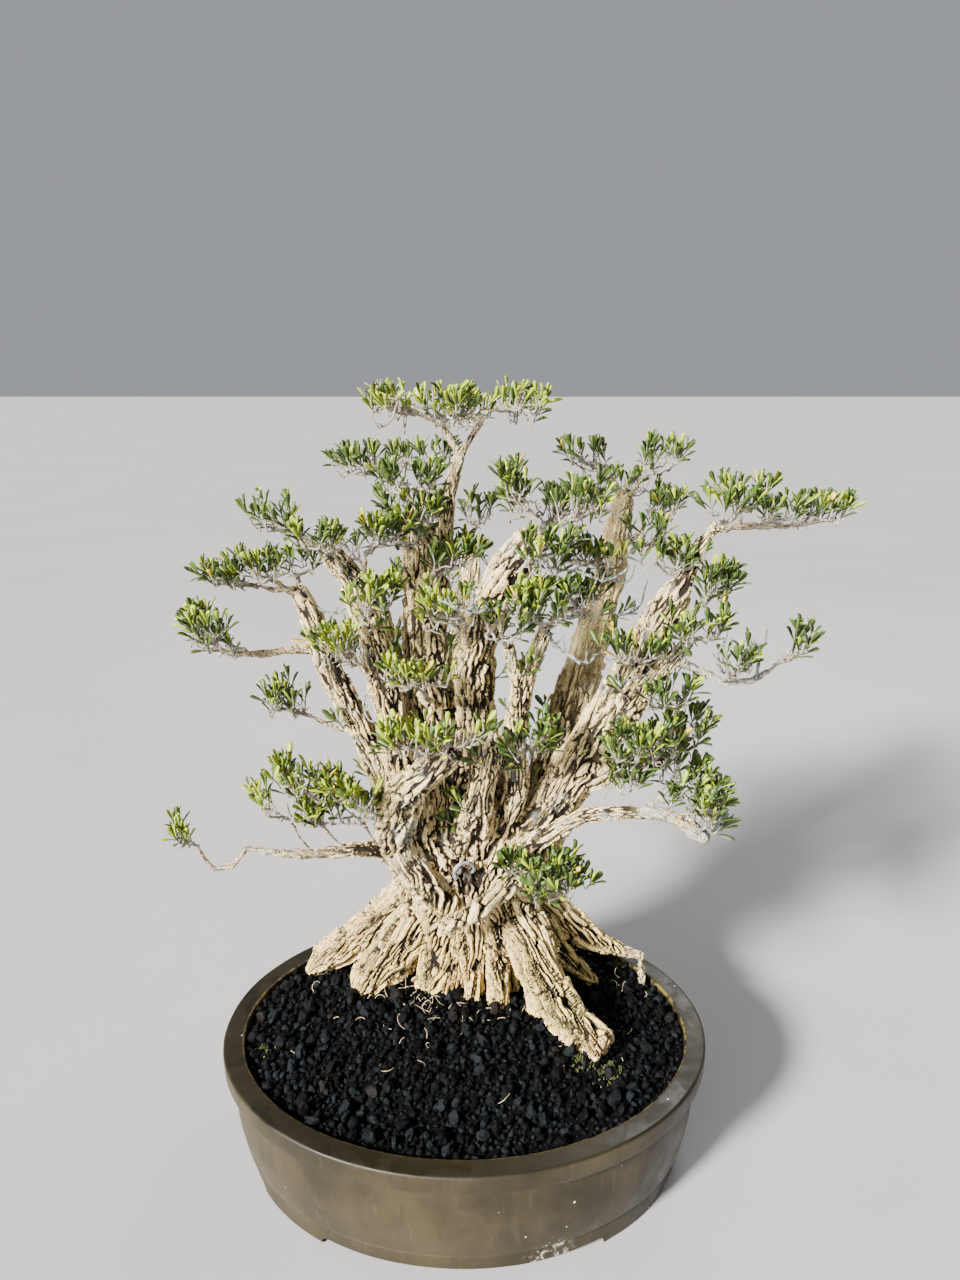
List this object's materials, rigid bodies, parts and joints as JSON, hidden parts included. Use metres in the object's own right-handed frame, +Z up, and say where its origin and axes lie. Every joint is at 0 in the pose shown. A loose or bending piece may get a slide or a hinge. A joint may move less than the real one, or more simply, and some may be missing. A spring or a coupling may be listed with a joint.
{
  "type": "bonsai tree in a pot",
  "caption": "Small-leaved boxwood bonsai with a clump of corky limbs on spreading roots, in an oval stoneware pot.",
  "frame": {"origin": "on the surface that the pot stands on, under the middle of the whole plant", "axes": "+X to the right and +Y to the back in the pictured view, +Z up"},
  "size_m": [0.5576, 0.4269, 0.6936],
  "materials": {
    "stoneware": "satin brown-taupe stoneware, darker on the lip's top, with pale lime specks",
    "drain_mesh": "black moulded plastic mesh",
    "dark_grit": "near-black lava grit with pale rootlets and a little moss",
    "corky_bark": "cream and tan corky bark in plates, with dark fissures",
    "boxwood_leaf": "satin leaves from yellow-green to dark green, on grey twigs"
  },
  "bodies": {
    "root": {"pot": "stoneware", "drain_screen_left": "drain_mesh", "drain_screen_right": "drain_mesh", "soil": "dark_grit", "tree": "corky_bark", "spray_crown_left": "boxwood_leaf", "spray_crown_front": "boxwood_leaf", "spray_crown_right": "boxwood_leaf", "spray_crown_back": "boxwood_leaf", "spray_upper_left_tip": "boxwood_leaf", "spray_upper_left_front": "boxwood_leaf", "spray_upper_left_back": "boxwood_leaf", "spray_second_left_tip": "boxwood_leaf", "spray_second_left_front": "boxwood_leaf", "spray_second_left_inner": "boxwood_leaf", "spray_far_left_tip": "boxwood_leaf", "spray_far_left_front": "boxwood_leaf", "spray_far_left_back": "boxwood_leaf", "spray_far_left_side": "boxwood_leaf", "spray_far_left_low": "boxwood_leaf", "spray_front_left_upper": "boxwood_leaf", "spray_front_left_lower": "boxwood_leaf", "spray_front_mid_upper": "boxwood_leaf", "spray_front_mid_lower": "boxwood_leaf", "spray_cut_limb_top": "boxwood_leaf", "spray_cross_left": "boxwood_leaf", "spray_cross_right": "boxwood_leaf", "spray_inner_top": "boxwood_leaf", "spray_inner_right": "boxwood_leaf", "spray_inner_front": "boxwood_leaf", "spray_inner_back": "boxwood_leaf", "spray_fork_top": "boxwood_leaf", "spray_fork_low": "boxwood_leaf", "spray_rear_left_tip": "boxwood_leaf", "spray_rear_left_side": "boxwood_leaf", "spray_rear_left_low": "boxwood_leaf", "spray_right_back_left": "boxwood_leaf", "spray_right_back_right": "boxwood_leaf", "spray_right_back_side": "boxwood_leaf", "spray_right_back_rear": "boxwood_leaf", "spray_right_back_front": "boxwood_leaf", "spray_right_front_tip": "boxwood_leaf", "spray_right_front_mid": "boxwood_leaf", "spray_right_front_near": "boxwood_leaf", "spray_right_front_rear": "boxwood_leaf", "spray_right_front_side": "boxwood_leaf", "spray_right_mid_near": "boxwood_leaf", "spray_right_mid_tip": "boxwood_leaf", "spray_right_under_front": "boxwood_leaf", "spray_right_under_side": "boxwood_leaf", "spray_right_low_tip": "boxwood_leaf", "spray_right_low_top": "boxwood_leaf", "spray_low_left_outer": "boxwood_leaf", "spray_low_left_mid": "boxwood_leaf", "spray_low_left_tip": "boxwood_leaf", "spray_low_left_near": "boxwood_leaf", "spray_front_low": "boxwood_leaf", "spray_back_top": "boxwood_leaf", "spray_back_left": "boxwood_leaf", "spray_back_right": "boxwood_leaf"}
  },
  "joints": []
}
